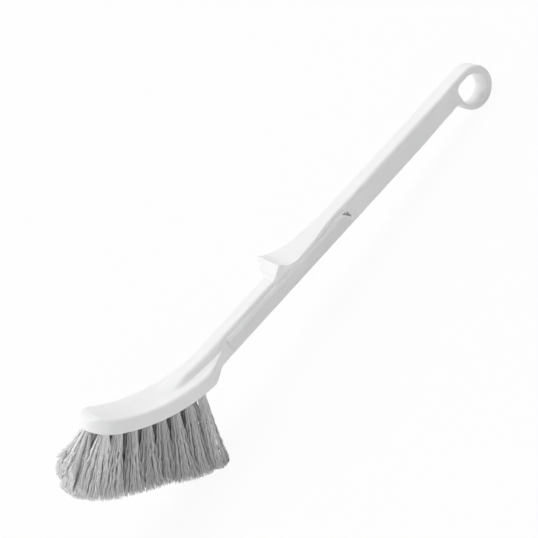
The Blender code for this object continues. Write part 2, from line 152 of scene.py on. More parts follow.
# Forms along the moulding. Each row has a place along the form and what the form has there: the
# ridge and the thumb rest their height and their width, and the heel the head's width.
ridge_shares = (
    (0.00, 1.00, 1.00), (0.18, 1.00, 1.00), (0.32, 0.96, 1.00), (0.50, 0.88, 0.99),
    (0.64, 0.69, 0.93), (0.77, 0.41, 0.78), (0.89, 0.13, 0.56), (1.00, 0.00, 0.36),
)
front_shares = (
    (0.00, 0.00, 0.00), (0.14, 0.07, 0.12), (0.40, 0.40, 0.42), (0.70, 0.70, 0.64), (1.00, 1.00, 0.82),
)
ramp_shares = (
    (0.00, 1.00, 0.82), (0.04, 0.78, 0.90), (0.11, 0.47, 1.00), (0.25, 0.22, 0.90), (0.36, 0.11, 0.80),
    (0.46, 0.05, 0.66), (0.64, 0.01, 0.42), (0.79, 0.00, 0.17), (1.00, 0.00, 0.00),
)
heel_shares = ((0.00, 1.00), (0.12, 0.99), (0.28, 0.88), (0.60, 0.48), (0.85, 0.14), (1.00, 0.00))

# The brush stands on the tips of its last tufts and on the rim of its loop.
standing_turn = 0.115196
standing_shift = (-0.0669411, 0, 0.0416717)
standing = Matrix.Translation(standing_shift) @ Matrix.Rotation(standing_turn, 4, "Y")


def follow(shares, part, column=1):
    """Reads a row of shares along a smooth line that never swings past them."""
    places = [row[0] for row in shares]
    values = [row[column] for row in shares]
    if part <= places[0]:
        return values[0]
    if part >= places[-1]:
        return values[-1]
    rises = [(values[i + 1] - values[i]) / (places[i + 1] - places[i]) for i in range(len(places) - 1)]

    def slope(index):
        if index in (0, len(rises)):
            return rises[min(index, len(rises) - 1)]
        before, after = rises[index - 1], rises[index]
        return 2 * before * after / (before + after) if before * after > 0 else 0.0

    here = max(i for i in range(len(rises)) if places[i] <= part)
    run = places[here + 1] - places[here]
    way = (part - places[here]) / run
    return (values[here] * (1 + 2 * way) * (1 - way) ** 2 + slope(here) * run * way * (1 - way) ** 2
            + values[here + 1] * way * way * (3 - 2 * way) + slope(here + 1) * run * way * way * (way - 1))


def eased(part):
    """A soft step from 0 to 1."""
    part = min(max(part, 0), 1)
    return part * part * (3 - 2 * part)


def mixed(low, high, share):
    """A value that lies a share of the way from one to another."""
    return low + (high - low) * share


def along(place, stretch):
    """A soft step from 0 to 1 along a stretch."""
    return eased((place - stretch[0]) / (stretch[1] - stretch[0]))


def spine(run):
    """The underside's point and its upward direction at a run from the heel, minus towards the nose."""
    if run >= 0:
        return Vector((run, 0, 0)), Vector((0, 0, 1))
    turn = -run / head_bend_radius
    point = Vector((-head_bend_radius * sin(turn), 0, head_bend_radius * (1 - cos(turn))))
    return point, Vector((sin(turn), 0, cos(turn)))


def bar_half(run):
    """Half the bar's width, which grows evenly from the head to the loop's neck."""
    part = min(max(run / (loop_reach - loop_neck), 0), 1)
    return mixed(bar_width_at_head, bar_width_at_loop, part) / 2


def head_half(run, reach, overhang):
    """Half the head's width, round at the nose and drawn in to the bar at the heel."""
    full = head_width / 2
    from_nose = run + head_length
    if from_nose < nose_reach:
        part = max(from_nose, 0) / nose_reach
        return full * sqrt(1 - (1 - part) ** 2)
    start = overhang - reach
    if run <= start:
        return full
    bar = bar_half(run)
    return mixed(bar, full, follow(heel_shares, (run - start) / reach))


def crowned(across, half):
    """Height of the head's back above its underside."""
    part = min(across / half, 1) if half > 0 else 1
    return head_thickness + head_crown * (1 - part * part)


def thumb_rest(run):
    """Height and flare of the thumb rest, with its foot and its crest softened."""
    height = flare = 0
    steps = range(-thumb_rest_steps, thumb_rest_steps + 1)
    places = [run + rest_crest_round * step / thumb_rest_steps for step in steps]
    for place in places:
        if place < rest_crest:
            part = (place - rest_foot) / rest_front
            height += rest_height * follow(front_shares, part) / len(places)
            flare += follow(front_shares, part, 2) / len(places)
        else:
            part = (place - rest_crest) / rest_ramp
            height += rest_height * follow(ramp_shares, part) / len(places)
            flare += follow(ramp_shares, part, 2) / len(places)
    return height, flare


def softened(corners, bows):
    """Rounds the corners of an open line and sets points along the flats between them, which may bow."""
    places = [Vector(corner[:2]) for corner in corners]
    reaches = [0.0] * len(corners)
    for index, (_, _, radius) in enumerate(corners):
        if corner_steps[index]:
            before, after = places[index - 1] - places[index], places[index + 1] - places[index]
            if min(before.length, after.length) > nothing:
                turn = min(max(pi - before.angle(after), 0), sharpest_turn)
                reaches[index] = radius * tan(turn / 2)
    limits = [1.0] * len(corners)
    for index in range(len(corners) - 1):
        room = (places[index + 1] - places[index]).length * flats_used_by_rounds
        share = min(room / max(reaches[index] + reaches[index + 1], nothing * nothing), 1)
        limits[index], limits[index + 1] = min(limits[index], share), min(limits[index + 1], share)
    turned = []
    for index, here in enumerate(places):
        steps, reach = corner_steps[index], reaches[index] * limits[index]
        if steps == 0 or reach == 0:
            turned.append([here.copy() for _ in range(steps + 1)])
            continue
        before, after = places[index - 1] - here, places[index + 1] - here
        start, end = here + before.normalized() * reach, here + after.normalized() * reach
        turned.append([start.lerp(here, step / steps).lerp(here.lerp(end, step / steps), step / steps)
                       for step in range(steps + 1)])
    line = list(turned[0])
    for count, bow, arc, following in zip(points_on_flats, bows, turned, turned[1:]):
        for step in range(1, count + 1):
            part = (1 - cos(pi * step / (count + 1))) / 2
            line.append(arc[-1].lerp(following[0], part) + Vector((0, bow * 4 * part * (1 - part))))
        line.extend(following)
    return line


def half_outline(run):
    """Half of the moulding's outline across the spine, from the middle of its top to its underside's."""
    bar = bar_half(run)
    back = head_half(run, heel_reach_back, heel_overhang)
    under = head_half(run, heel_reach_under, 0)
    ridge, ridge_width = 1.0, 1.0
    if run < 0:
        ridge = follow(ridge_shares, -run / ridge_run)
        ridge_width = follow(ridge_shares, -run / ridge_run, 2)
    half_top = bar * ridge_width
    soft = along(-run, crease_softens)
    if run < -ridge_run:
        half_top = min(half_top, back / 2)
    from_nose = run + head_length
    drop = lift = 0
    if from_nose < nose_drop:
        drop = nose_drop - sqrt(max(nose_drop ** 2 - (nose_drop - from_nose) ** 2, 0))
    if from_nose < head_under_round:
        lift = head_under_round - sqrt(max(head_under_round ** 2 - (head_under_round - from_nose) ** 2, 0))
    rise, flare = thumb_rest(run)
    middle = mixed(crowned(0, back), bar_depth, ridge) + rise - drop
    corner = mixed(crowned(half_top, back), bar_depth, ridge) + rise - drop
    to_loop = eased((run - loop_reach + loop_neck * 2) / loop_neck)
    top_round = mixed(bar_top_round, bar_top_round_behind, along(run, bar_rounds_more))
    top_round = mixed(top_round, loop_round, to_loop)
    top_round += (ridge_top_round - bar_top_round) * eased(1 - run / ridge_round_fade)
    if rise > nothing:
        top_round = mixed(top_round, rest_edge_round, eased(rise / bar_top_round))
    top_bow = head_crown * (half_top / back) ** 2 / 4 * (1 - ridge) if back > nothing else 0
    top_corner = half_top + (rest_width / 2 - bar) * flare
    if run < heel_overhang:
        # The head: the ridge's corner and side, the crease, the crowned back, its edge and the underside.
        foot = min(half_top + crease_lean * ridge + crease_lean_in_front * soft, back)
        crease = crowned(foot, back) - drop
        spread = back - foot
        bow = head_crown * (spread / 3 / back) ** 2 / 4 if back > nothing else 0
        near, far = foot + spread / 3, foot + spread * 2 / 3
        under_round = mixed(head_under_round, bar_under_round, eased(1 + run / heel_reach_under))
        back_round = mixed(nose_back_round, head_back_round, eased(from_nose / nose_round_fade))
        return softened([
            (0, middle, 0),
            (top_corner, corner, top_round),
            ((top_corner + foot) / 2, (corner + crease) / 2, bead_round),
            (foot, crease, mixed(crease_round, crease_round_in_front, soft)),
            (near, crowned(near, back) - drop, channel_round),
            (far, crowned(far, back) - drop, channel_round),
            (back, head_thickness - drop, back_round),
            (under, lift, under_round),
            (0, lift, 0),
        ], (top_bow, 0, 0, bow, bow, bow, 0, 0))
    # The bar: its corner, the bead, the channel's slanted back, the ledge below it and the underside.
    into = eased((run - channel_start) / channel_start_slope)
    into = min(into, eased((channel_end - run) / channel_end_slope))
    web = bar - channel_depth * into
    bead = bead_height * into
    edge = bead_width * (1 - to_loop)
    low = mixed(channel_low, loop_edge_width, to_loop)
    high = mixed(channel_high, bar_depth - loop_edge_width, to_loop)
    return softened([
        (0, middle, 0),
        (top_corner, corner, top_round),
        (bar - bead, high + edge, mixed(bead_round, rest_neck_round, eased(flare / neck_round_flare))),
        (bar + bead, high + edge / 4, bead_round),
        (web, high - channel_draft, channel_round),
        (web, mixed(low, high, channel_back_share), channel_back_round),
        (bar, low, bead_round),
        (bar, 0, mixed(bar_under_round, loop_round, to_loop)),
        (0, 0, 0),
    ], (top_bow, 0, 0, 0, 0, 0, 0, 0))


def sheet_over(bm, lines):
    """Lays a sheet of faces over lines of points that all have the same count."""
    rows, places = len(lines) - 1, len(lines[0]) - 1
    for vert in bmesh.ops.create_grid(bm, x_segments=rows, y_segments=places, size=1)["verts"]:
        vert.co = lines[round((vert.co.x + 1) / 2 * rows)][round((vert.co.y + 1) / 2 * places)]


loop_middle = Vector((loop_reach, loop_level))
to_fillet = sqrt((loop_radius + loop_fillet) ** 2 - (loop_fillet + loop_level) ** 2)
fillet_middle = Vector((loop_reach - to_fillet, -loop_fillet))
hole_middle = Vector((loop_reach - loop_hole_setback, loop_level))
hole_flat = loop_hole_radius - loop_hole_corner
hole_bend = loop_hole_corner * pi / 2
hole_turn = hole_flat * 2 + hole_bend + loop_hole_radius * pi * 1.5


def hole_edge(way):
    """A point on the loop's hole and the direction outward, at a way along its edge from its top."""
    if way < 0:
        outward = Vector((sin(-way / loop_hole_radius), cos(way / loop_hole_radius)))
        return hole_middle + outward * loop_hole_radius, outward
    if way < hole_flat:
        return hole_middle + Vector((-way, loop_hole_radius)), Vector((0, 1))
    way -= hole_flat
    if way < hole_bend:
        outward = Vector((-sin(way / loop_hole_corner), cos(way / loop_hole_corner)))
        return hole_middle + Vector((-hole_flat, hole_flat)) + outward * loop_hole_corner, outward
    way -= hole_bend
    if way < hole_flat:
        return hole_middle + Vector((-loop_hole_radius, hole_flat - way)), Vector((-1, 0))
    way -= hole_flat
    outward = Vector((-cos(way / loop_hole_radius), -sin(way / loop_hole_radius)))
    return hole_middle + outward * loop_hole_radius, outward


def loop_line(start, inward, way):
    """A line over half of the loop, from the middle of its rim, or from the bar, to that of its hole."""
    half = bar_half(loop_reach)
    line = []
    edge = start
    if inward is not None:
        for step in range(flat_steps + 1):
            part = (1 - cos(pi * step / (flat_steps + 1))) / 2
            line.append(Vector((start.x, (half - loop_round) * part, start.y)))
        for step in range(edge_steps + 1):
            turn = step / edge_steps
            edge = start + inward * (loop_round * turn * turn)
            line.append(Vector((edge.x, half - loop_round * (1 - turn) ** 2, edge.y)))
    else:
        line.append(Vector((edge.x, half, edge.y)))
    mouth, outward = hole_edge(way)
    inner = mouth + outward * loop_hole_round
    for step in range(1, loop_face_steps):
        place = edge.lerp(inner, step / loop_face_steps)
        line.append(Vector((place.x, half, place.y)))
    for step in range(edge_steps, -1, -1):
        turn = step / edge_steps
        place = mouth + outward * (loop_hole_round * turn * turn)
        line.append(Vector((place.x, half - loop_hole_round * (1 - turn) ** 2, place.y)))
    for step in range(1, loop_wall_steps + 1):
        line.append(Vector((mouth.x, (half - loop_hole_round) * (1 - step / loop_wall_steps), mouth.y)))
    return line


def between(low, high, steps):
    """Evenly spaced places from low to just before high."""
    return [low + (high - low) * step / steps for step in range(steps)]


bm = bmesh.new()

# Each row is where a stretch of the moulding starts and how many outlines are drawn along it.
stretches = (
    (-head_length + nose_reach, 28),
    (-ridge_run, 29),
    (heel_overhang - heel_reach_back, 32),
    (heel_overhang, 2),
    (channel_start, 9),
    (channel_start + channel_start_slope, 14),
    (rest_foot - rest_crest_round * 2, 34),
    (rest_crest + rest_crest_round * 2, 20),
    (rest_crest + rest_ramp * steep_share_of_ramp, 32),
    (rest_crest + rest_ramp, 6),
    (channel_end - channel_end_slope, 8),
    (channel_end, 40),
    (fillet_middle.x, 0),
)
stations = [-head_length + nose_reach * (1 - cos(pi / 2 * step / nose_steps)) for step in range(nose_steps)]
for (start, steps), (end, _) in zip(stretches, stretches[1:]):
    stations += between(start, end, steps)
stations.append(fillet_middle.x)
lines = []
for run in stations:
    origin, up = spine(run)
    lines.append([origin + up * point.y + Vector((0, point.x, 0)) for point in half_outline(run)])
sheet_over(bm, lines)

# The loop, from the bar's top over the hole, round the rim and along the fillet under the bar.
corner_way = hole_flat + hole_bend / 2
fillet_way = hole_flat * 2 + hole_bend - hole_stretch_before_fillet
touch = atan2(loop_level + loop_fillet, loop_middle.x - fillet_middle.x)
touch_way = hole_flat * 2 + hole_bend + loop_hole_radius * (touch + turn_past_touch)
rim = []
for x in between(fillet_middle.x, hole_middle.x - hole_flat, neck_steps):
    part = (x - fillet_middle.x) / (hole_middle.x - hole_flat - fillet_middle.x)
    rim.append((Vector((x, bar_depth)), Vector((0, -1)), mixed(corner_way, hole_flat, part)))
for x in between(hole_middle.x - hole_flat, loop_middle.x, over_hole_steps):
    way = hole_middle.x - x
    if way <= 0:
        way = -loop_hole_radius * asin(-way / loop_hole_radius)
    rim.append((Vector((x, bar_depth)), Vector((0, -1)), way))
top_way = -loop_hole_radius * asin(loop_hole_setback / loop_hole_radius)
for part in between(0, 1, ring_steps):
    turn = pi / 2 - part * (pi * 1.5 - touch)
    outward = Vector((cos(turn), sin(turn)))
    way = mixed(top_way, touch_way - hole_turn, part)
    rim.append((loop_middle + outward * loop_radius, -outward, way))
for part in between(0, 1, fillet_steps) + [1]:
    turn = touch + part * (pi / 2 - touch)
    inward = Vector((cos(turn), sin(turn)))
    way = mixed(touch_way, fillet_way, part) - hole_turn
    rim.append((fillet_middle + inward * loop_fillet, inward, way))


def around(way):
    """Brings a way round the hole back into its single turn."""
    return way if way > -loop_hole_radius * pi * 1.5 + nothing else way + hole_turn


sheet_over(bm, [loop_line(start, inward, around(way)) for start, inward, way in rim])

# The face between the end of the bar's side and the loop's hole.
wall = [Vector((fillet_middle.x, point.y)) for point in half_outline(fillet_middle.x)
        if loop_round - nothing < point.y < bar_depth - loop_round + nothing]
joins = []
last_point = None
for point in wall:
    if last_point is None or (point - last_point).length > nothing:
        part = (bar_depth - loop_round - point.y) / (bar_depth - loop_round * 2)
        joins.append(loop_line(point, None, mixed(corner_way, fillet_way, part)))
        last_point = point
sheet_over(bm, joins)

# The sheets are merged, mirrored to the far side and drawn in at the loop, which is thinner than the bar.
bmesh.ops.remove_doubles(bm, verts=bm.verts, dist=nothing)
bmesh.ops.dissolve_degenerate(bm, edges=bm.edges, dist=nothing)
bmesh.ops.mirror(bm, geom=bm.verts[:] + bm.edges[:] + bm.faces[:], axis="Y", merge_dist=nothing)
bmesh.ops.remove_doubles(bm, verts=bm.verts, dist=nothing)
for vert in bm.verts:
    from_loop = hypot(vert.co.x - loop_middle.x, vert.co.z - loop_middle.y)
    waist = 1 - along(from_loop, loop_waist_fades)
    vert.co.y *= 1 - (1 - loop_waist / bar_width_at_loop) * waist
bmesh.ops.recalc_face_normals(bm, faces=bm.faces)
bmesh.ops.transform(bm, matrix=standing, verts=bm.verts)
mesh = bpy.data.meshes.new("brush_moulding")
bm.to_mesh(mesh)
bm.free()
moulding = bpy.data.objects.new("brush_moulding", mesh)
bpy.context.scene.collection.objects.link(moulding)

# Holes for the tufts, drilled from beneath in three rows that lean further towards the nose.
tufts_in_row = 8
tuft_pitch = 0.0096
outer_row_inset = 0.0105
middle_row_inset = 0.0120
nose_tuft_inset = 0.0037
row_spacing = 0.0080
hole_diameter = 0.0056
hole_depth = 0.0066
hole_lean = radians(19.2)
hole_fan_share = 0.75
nose_tuft_lean = radians(11.5)
outer_row_splay = radians(4.0)
drill_overrun = 0.0010
hole_sides = 28
sharp_angle = radians(42.0)

holes = []
for row, side in (("left", -1), ("middle", 0), ("right", 1)):
    inset = outer_row_inset if side else middle_row_inset
    for number in range(tufts_in_row if side else tufts_in_row - 1):
        run = inset - head_length + tuft_pitch * number
        lean = hole_lean + hole_fan_share * -run / head_bend_radius
        holes.append(("%s_%d" % (row, number + 1), run, side * row_spacing, lean, side * outer_row_splay))
run = nose_tuft_inset - head_length
holes.append(("nose", run, 0, hole_lean + hole_fan_share * -run / head_bend_radius + nose_tuft_lean, 0))


def hole_place(run, across, lean, splay):
    """Where a tuft hole stands: its mouth, with -Z along the bristles that come out of it."""
    point, _ = spine(run)
    turned = Matrix.Rotation(lean, 4, "Y") @ Matrix.Rotation(splay, 4, "X")
    return Matrix.Translation(point + Vector((0, across, 0))) @ turned


def cut_away(piece, cutter_bm, name):
    """Cuts a shape out of a piece for good."""
    cutter_mesh = bpy.data.meshes.new(name)
    cutter_bm.to_mesh(cutter_mesh)
    cutter_bm.free()
    cutter = bpy.data.objects.new(name, cutter_mesh)
    bpy.context.scene.collection.objects.link(cutter)
    modifier = piece.modifiers.new(name, "BOOLEAN")
    modifier.operation = "DIFFERENCE"
    modifier.solver = "EXACT"
    modifier.object = cutter
    bpy.context.view_layer.update()
    shape = bpy.data.meshes.new_from_object(piece.evaluated_get(bpy.context.evaluated_depsgraph_get()))
    piece.modifiers.clear()
    old = piece.data
    piece.data = shape
    bpy.data.meshes.remove(old)
    bpy.data.objects.remove(cutter)


drill = bmesh.new()
for name, run, across, lean, splay in holes:
    place = standing @ hole_place(run, across, lean, splay)
    depth = hole_depth + drill_overrun
    shaft = bmesh.ops.create_cone(drill, cap_ends=True, segments=hole_sides, radius1=hole_diameter / 2,
                                  radius2=hole_diameter / 2, depth=depth)["verts"]
    bmesh.ops.translate(drill, verts=shaft, vec=(0, 0, depth / 2 - drill_overrun))
    bmesh.ops.transform(drill, matrix=place, verts=shaft)
cut_away(moulding, drill, "drill")

# A small deep notch ends the channel on each side of the bar.
notches = bmesh.new()
for side in (-1, 1):
    top = channel_high - notch_below_lip
    end = channel_end + notch_past_end
    corners = [(channel_end - notch_length, top), (end, top), (end, top - notch_height)]
    face = notches.faces.new([notches.verts.new((x, side * notch_web / 2, z)) for x, z in corners])
    grown = bmesh.ops.extrude_face_region(notches, geom=[face])["geom"]
    moved = [item for item in grown if isinstance(item, bmesh.types.BMVert)]
    bmesh.ops.translate(notches, verts=moved, vec=(0, side * bar_width_at_loop / 2, 0))
bmesh.ops.recalc_face_normals(notches, faces=notches.faces)
bmesh.ops.transform(notches, matrix=standing, verts=notches.verts)
cut_away(moulding, notches, "notches")
moulding.data.shade_smooth()
moulding.data.set_sharp_from_angle(angle=sharp_angle)


noise_swing = (0.3, 0.7)


def new_finish(name, roughness):
    """Starts a material, and gives it with its node tree and its shader."""
    material = bpy.data.materials.new(name)
    material.use_nodes = True
    tree = material.node_tree
    shader = tree.nodes["Principled BSDF"]
    shader.inputs["Roughness"].default_value = roughness
    return material, tree, shader


def noise_over(tree, scale, detail, stretch=(1, 1, 1)):
    """Adds a noise over the piece's own coordinates."""
    coordinates = tree.nodes.new("ShaderNodeTexCoord")
    mapping = tree.nodes.new("ShaderNodeMapping")
    mapping.inputs["Scale"].default_value = stretch
    tree.links.new(coordinates.outputs["Object"], mapping.inputs["Vector"])
    noise = tree.nodes.new("ShaderNodeTexNoise")
    noise.inputs["Scale"].default_value = scale
    noise.inputs["Detail"].default_value = detail
    tree.links.new(mapping.outputs["Vector"], noise.inputs["Vector"])
    return noise.outputs["Fac"]


def colour_from(tree, shader, value, places, darker, painted_light):
    """Gives the shader a colour that grows lighter with a value, between two places of it."""
    tint = tree.nodes.new("ShaderNodeValToRGB")
    for element, place, colour in zip(tint.color_ramp.elements, places, (darker, painted_light)):
        element.position = place
        element.color = (*colour, 1)
    tree.links.new(value, tint.inputs["Fac"])
    tree.links.new(tint.outputs["Color"], shader.inputs["Base Color"])


def roughness_from(tree, shader, value, low, high):
    """Gives the shader a roughness between two limits that follows a noise."""
    ranged = tree.nodes.new("ShaderNodeMapRange")
    ranged.inputs["From Min"].default_value = noise_swing[0]
    ranged.inputs["From Max"].default_value = noise_swing[1]
    ranged.inputs["To Min"].default_value = low
    ranged.inputs["To Max"].default_value = high
    tree.links.new(value, ranged.inputs["Value"])
    tree.links.new(ranged.outputs["Result"], shader.inputs["Roughness"])


def bumps_from(tree, value, strength, distance, receiver):
    """Gives a shader or another bump the relief of a noise."""
    bumps = tree.nodes.new("ShaderNodeBump")
    bumps.inputs["Strength"].default_value = strength
    bumps.inputs["Distance"].default_value = distance
    tree.links.new(value, bumps.inputs["Height"])
    tree.links.new(bumps.outputs["Normal"], receiver.inputs["Normal"])
    return bumps


white_plastic, tree, shader = new_finish("white_plastic", roughness=0.42)
cloud = noise_over(tree, scale=45.0, detail=3.0)
duller_white = (0.845, 0.848, 0.850)
brighter_white = (0.872, 0.872, 0.870)
colour_from(tree, shader, cloud, places=(0.35, 0.65), darker=duller_white, painted_light=brighter_white)
roughness_from(tree, shader, noise_over(tree, scale=160.0, detail=4.0), low=0.36, high=0.50)
grain = noise_over(tree, scale=2600.0, detail=2.0)
skin = bumps_from(tree, grain, strength=0.12, distance=0.00004, receiver=shader)
wave = noise_over(tree, scale=38.0, detail=1.0)
bumps_from(tree, wave, strength=0.35, distance=0.00025, receiver=skin)
moulding.data.materials.clear()
moulding.data.materials.append(white_plastic)
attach(moulding, "root")
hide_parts("handle_and_head")

# Wire anchors, cut from flat drawn wire. One sits across each hole in the fold of its tuft, and
# its ends bite into the plastic. They keep the drawing's solids and get the sheen of drawn wire.
drawn_wire, tree, shader = new_finish("drawn_wire", roughness=0.34)
shader.inputs["Metallic"].default_value = 1.0
streaks = noise_over(tree, scale=900.0, detail=3.0, stretch=(1.0, 0.05, 1.0))
duller_wire = (0.50, 0.48, 0.43)
brighter_wire = (0.68, 0.66, 0.61)
colour_from(tree, shader, streaks, places=(0.3, 0.7), darker=duller_wire, painted_light=brighter_wire)
roughness_from(tree, shader, streaks, low=0.26, high=0.44)
bumps_from(tree, streaks, strength=0.3, distance=0.00003, receiver=shader)
for name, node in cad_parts.items():
    if name.startswith("anchor_"):
        node.data.materials.clear()
        node.data.materials.append(drawn_wire)

# Tufts of grey crimped filament. Each is a bundle that is folded over its wire and driven into its
# hole, so two ends of every filament stand out. They cling together in locks, spread as they leave
# the head, and are cut to one scrubbing line and to a steeper one round the nose.
filament_width = 0.00036
filament_steps = 23
thinnest = 0.85
thickest = 1.10
filaments_in_tuft = 210
filaments_in_first_tuft = 400
filaments_in_nose_tuft = 600
first_seed = 100

# The bundle in its hole, and its fold over the wire.
bundle_radius = 0.0025
out_of_line = 0.04
mouth_depth = 0.0004
wire_seat = 0.0042
wire_half_thickness = 0.0007
fold_above_seat = 0.0011
fold_slope = 0.3
fold_height = 0.0058

# How wide a tuft is at its tips, how soon it opens, where it leans and how far its strays stand off.
spread_along = 0.0195
spread_along_first = 0.0310
spread_along_last = 0.0190
spread_across = 0.0100
nose_spread_across = 0.0300
last_across_share = 0.6
tuft_spread_change = 0.18
squarest = 2.5
opens_early = 0.85
opens_evenly = 1.10
opens_late = 1.25
late_tufts_from = 6
tuft_wander = 0.0014
first_lean = -0.0020
last_lean = 0.0012
stray_share = 0.05
stray_width = 0.0012

# Locks of filaments, how strongly they cling, and the wave and the crimp that run through them.
locks_in_tuft = 18
locks_in_nose_tuft = 13
locks_reach_share = 0.9
lock_pull = 0.42
lock_pull_at_tip = 0.25
nose_lock_pull = 0.55
nose_lock_pull_at_tip = 0.35
lock_wave_height = 0.00020
lock_wave_length = 0.0100
crimp_height = 0.00018
crimp_length = 0.0060
crimp_grows = 4
crimp_pace_across = 0.9
crimp_turn_change = 0.7
nose_crimp_share = 0.35
slowest_wave = 0.80
fastest_wave = 1.25

# Shades between the two greys, from 0 to 1. The first tufts and the last ones get painted light: their grey
# is lifted to stand in for the light that they catch.
plain_shade = 0.15
front_painted_light = 0.85
painted_light_fade_tufts = 2.5
last_painted_light = 0.35
lock_shade_change = 0.2
filament_shade_change = 0.25

# How unevenly the tips are cut, how many stay longer and by how much, and how close they come to the floor.
shallowest_cut = 0.15
tip_unevenness = 0.0004
long_share = 0.020
long_extra = 0.0014
least_height = 0.0001

# The cut ends lie on flat faces, each given by a point on it and the way that it looks: the scrubbing
# line, the steeper line round the nose, and four that bound the nose's tuft in front and at its sides.
trim_faces = (
    ((-0.0446, 0, -0.0448), (-0.602, 0, -0.799)),
    ((-0.1045, 0, 0.0010), (-0.707, 0, -0.707)),
    ((-0.1185, 0, 0.0150), (-1.0, 0, 0)),
    ((-0.1185, 0, 0.0200), (-0.8, 0, 0.6)),
    ((-0.1135, 0.013, 0), (-0.8, 0.6, 0)),
    ((-0.1135, -0.013, 0), (-0.8, -0.6, 0)),
)

# A straight strand, one wide and one long, that is stretched and bent into each filament.
strand = bmesh.new()
bmesh.ops.create_cone(strand, cap_ends=True, segments=3, radius1=0.5, radius2=0.5, depth=1.0)
bmesh.ops.translate(strand, verts=strand.verts, vec=(0, 0, 0.5))
long_edges = [edge for edge in strand.edges if edge.verts[0].co.z != edge.verts[1].co.z]
bmesh.ops.subdivide_edges(strand, edges=long_edges, cuts=filament_steps - 1)
strand_mesh = bpy.data.meshes.new("strand")
strand.to_mesh(strand_mesh)
strand.free()

grey_filament, tree, shader = new_finish("grey_filament", roughness=0.45)
# Each filament's grey comes from its attribute, which also carries painted light on the first and last
# tufts.
own_shade = tree.nodes.new("ShaderNodeAttribute")
own_shade.attribute_name = "filament_grey_and_painted_light"
grey_and_painted_light = own_shade.outputs["Fac"]
darker_grey = (0.64, 0.64, 0.64)
lighter_grey = (0.97, 0.97, 0.97)
colour_from(tree, shader, grey_and_painted_light, places=(0.0, 1.0), darker=darker_grey, painted_light=lighter_grey)
roughness_from(tree, shader, noise_over(tree, scale=1400.0, detail=2.0), low=0.36, high=0.58)
ribs = noise_over(tree, scale=3200.0, detail=2.0)
bumps_from(tree, ribs, strength=0.25, distance=0.00005, receiver=shader)


def disc_points(count, radius, chance):
    """Places spread evenly over a disc, each a little out of line."""
    points = []
    for index in range(count):
        turn = index * pi * (3 - sqrt(5))
        far = sqrt((index + 0.5) / count) * radius
        aside = Vector((chance.uniform(-1, 1), chance.uniform(-1, 1))) * radius * out_of_line
        points.append(Vector((far * cos(turn), far * sin(turn))) + aside)
    return points


def filament_line(root, width, aim, cut_share, opening, sway):
    """The middle of one filament, from the top of its fold to where it is cut on the way to its aim."""
    side = -1 if root.x < 0 else 1
    fold_top = min(fold_height, wire_seat + fold_above_seat + abs(root.x) * fold_slope)
    beside_wire = side * max(abs(root.x), wire_half_thickness)
    line = [
        Vector((side * width / 4, root.y, fold_top)),
        Vector((beside_wire, root.y, wire_seat)),
        Vector((root.x, root.y, mouth_depth)),
    ]
    for step in range(3, filament_steps + 1):
        part = (step - 2) / (filament_steps - 2)
        out = part * cut_share
        bent = part ** opening * cut_share
        line.append(Vector((root.x + aim.x * bent, root.y + aim.y * bent, aim.z * out)) + sway(part, out))
    return line


def add_filament(tuft, centres, width, spin, grey_and_painted_light):
    """Adds a strand to a tuft, laid along a line and turned about it."""
    before = len(tuft.verts)
    tuft.from_mesh(strand_mesh)
    tuft.verts.ensure_lookup_table()
    shade_layer = tuft.verts.layers.float["filament_grey_and_painted_light"]
    across_way = Vector((cos(spin), sin(spin), 0))
    sides = []
    for step in range(filament_steps + 1):
        tangent = (centres[min(step + 1, filament_steps)] - centres[max(step - 1, 0)]).normalized()
        sideways = tangent.cross(across_way).normalized() * width
        sides.append((sideways, tangent.cross(sideways)))
    for vert in tuft.verts[before:]:
        step = round(vert.co.z * filament_steps)
        sideways, other = sides[step]
        vert.co = centres[step] + sideways * vert.co.x + other * vert.co.y
        vert[shade_layer] = grey_and_painted_light


